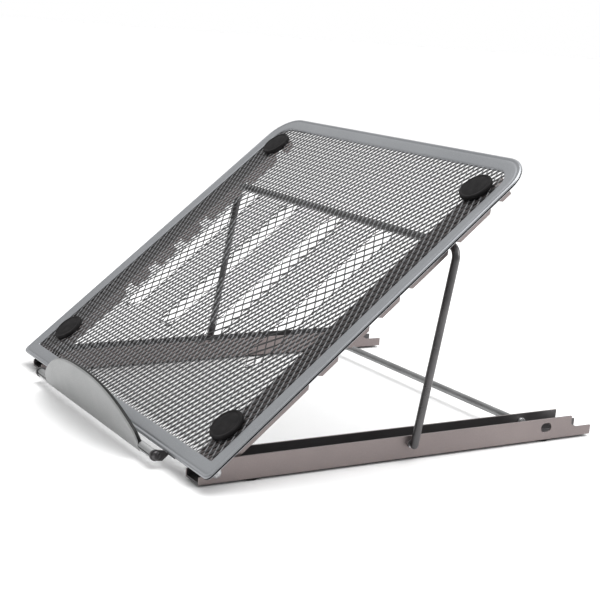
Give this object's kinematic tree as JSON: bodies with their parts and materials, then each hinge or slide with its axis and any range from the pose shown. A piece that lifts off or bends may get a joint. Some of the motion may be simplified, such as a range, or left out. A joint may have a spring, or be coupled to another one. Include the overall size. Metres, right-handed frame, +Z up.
{
  "type": "laptop stand",
  "caption": "Folding metal laptop stand with a sloping expanded-mesh platform, channel base rails, a wire bail in notched rails and an arched folding front stop.",
  "frame": {"origin": "centre of the footprint box, on the surface that the feet rest on", "axes": "+X across the stand, to the right of a person sitting at it; +Y from the front stop to the back; +Z up"},
  "size_m": [0.3, 0.3212, 0.1899],
  "materials": {
    "frame_paint": "satin grey powder coat",
    "rail_paint": "satin warm grey powder coat",
    "mesh_paint": "satin grey powder coat on expanded metal",
    "stop_paint": "satin grey powder coat",
    "dark_wire": "semi-gloss dark grey coat on wire",
    "grey_wire": "satin grey coat on wire",
    "zinc_steel": "zinc plated steel",
    "rubber": "matte moulded rubber"
  },
  "bodies": {
    "base": {"base_rail_right": "rail_paint", "base_rail_left": "rail_paint", "rear_brace_rod": "grey_wire", "brace_nut_right": "zinc_steel", "brace_nut_left": "zinc_steel", "foot_front_right": "rubber", "foot_front_left": "rubber", "foot_rear_right": "rubber", "foot_rear_left": "rubber", "hinge_rivet_right": "zinc_steel", "hinge_rivet_left": "zinc_steel", "hinge_spacer_right": "zinc_steel", "hinge_spacer_left": "zinc_steel", "bail_pivot_pin_right": "zinc_steel", "bail_pivot_pin_left": "zinc_steel"},
    "platform": {"platform_frame": "frame_paint", "mesh_panel": "mesh_paint", "notched_rail_right": "rail_paint", "notched_rail_left": "rail_paint", "pad_front_right": "rubber", "pad_front_left": "rubber", "pad_rear_right": "rubber", "pad_rear_left": "rubber", "stop_hinge_wire": "dark_wire", "stop_bracket_right": "dark_wire", "stop_bracket_left": "dark_wire"},
    "bail": {"support_bail": "dark_wire"},
    "stop": {"front_stop": "stop_paint"}
  },
  "joints": [
    {"name": "platform_tilt", "type": "hinge", "parent": "base", "child": "platform", "pos_m": [0, -0.12936, 0.0078], "axis": [1, 0, 0], "range_deg": [-35, 0]},
    {"name": "bail_fold", "type": "hinge", "parent": "platform", "child": "bail", "pos_m": [0, 0.02733, 0.13593], "axis": [1, 0, 0], "range_deg": [-38.5, 0]},
    {"name": "stop_fold", "type": "hinge", "parent": "platform", "child": "stop", "pos_m": [0, -0.14951, 0.00796], "axis": [1, 0, 0], "range_deg": [-62, 0]}
  ],
  "couplings": [
    {"joint": "bail_fold", "follows": "platform_tilt", "ratio": 1.1}
  ]
}
